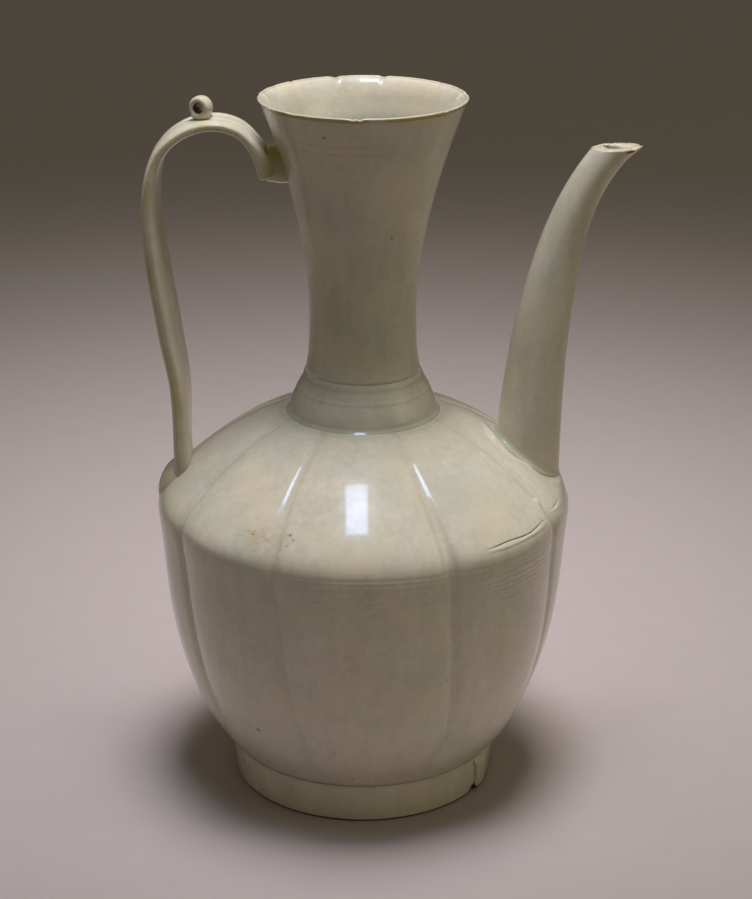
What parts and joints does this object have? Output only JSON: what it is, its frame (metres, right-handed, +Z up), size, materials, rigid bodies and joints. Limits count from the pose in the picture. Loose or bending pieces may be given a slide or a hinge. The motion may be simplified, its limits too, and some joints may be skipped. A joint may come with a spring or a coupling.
{
  "type": "porcelain ewer",
  "caption": "Lobed porcelain ewer with a trumpet neck, long curved spout, strap handle with a small tie loop, and a foot ring.",
  "frame": {"origin": "on the table plane, at the middle of the footprint of the whole ewer, handle and spout included", "axes": "+Z up along the pot's axis, +X towards the spout, -X towards the handle"},
  "size_m": [0.1757, 0.1504, 0.26],
  "materials": {
    "glaze": "glossy pale greenish white glaze, pooling darker in grooves and seams",
    "foot": "glazed outside, bare buff fired clay on the underside"
  },
  "bodies": {
    "root": {"foot_ring": "foot", "lower_body": "glaze", "shoulder": "glaze", "neck_collar": "glaze", "neck": "glaze", "spout": "glaze", "handle_strap": "glaze", "handle_upper_pad": "glaze", "handle_foot_pad": "glaze", "tie_loop": "glaze"}
  },
  "joints": []
}
